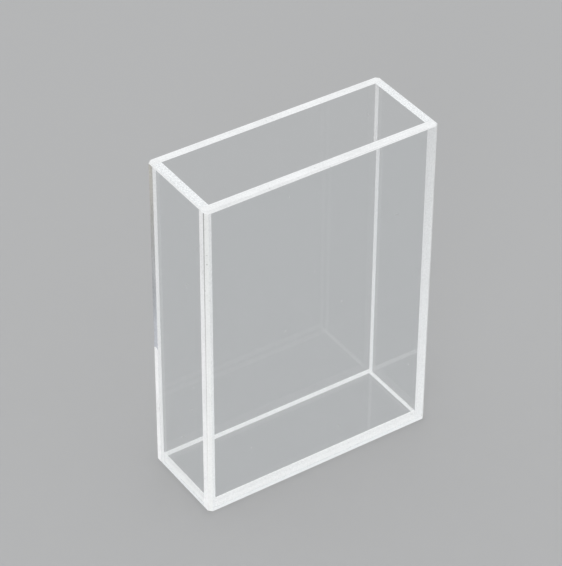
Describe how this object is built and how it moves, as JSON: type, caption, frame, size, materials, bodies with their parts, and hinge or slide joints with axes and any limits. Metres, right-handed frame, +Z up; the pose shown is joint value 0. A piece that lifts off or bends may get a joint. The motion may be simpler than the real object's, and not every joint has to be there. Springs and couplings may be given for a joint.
{
  "type": "cuvette",
  "caption": "Upright rectangular cell with clear polished walls, white ground edges and an open top, for holding a liquid in a beam of light.",
  "frame": {"origin": "the middle of the foot, on the surface that the cell stands on", "axes": "+X across the wide windows, +Y from the front window to the back window, +Z up from the foot to the open rim"},
  "size_m": [0.0324, 0.0126, 0.045],
  "materials": {
    "window_glass": "clear glass, both large faces polished, edges and corner flats ground white",
    "side_glass": "clear glass, both large faces polished, edges ground white with a coarser grain than on the windows",
    "base_glass": "clear glass, both large faces polished, edges ground white"
  },
  "bodies": {
    "root": {"front_window": "window_glass", "back_window": "window_glass", "left_side": "side_glass", "right_side": "side_glass", "base": "base_glass"}
  },
  "joints": []
}
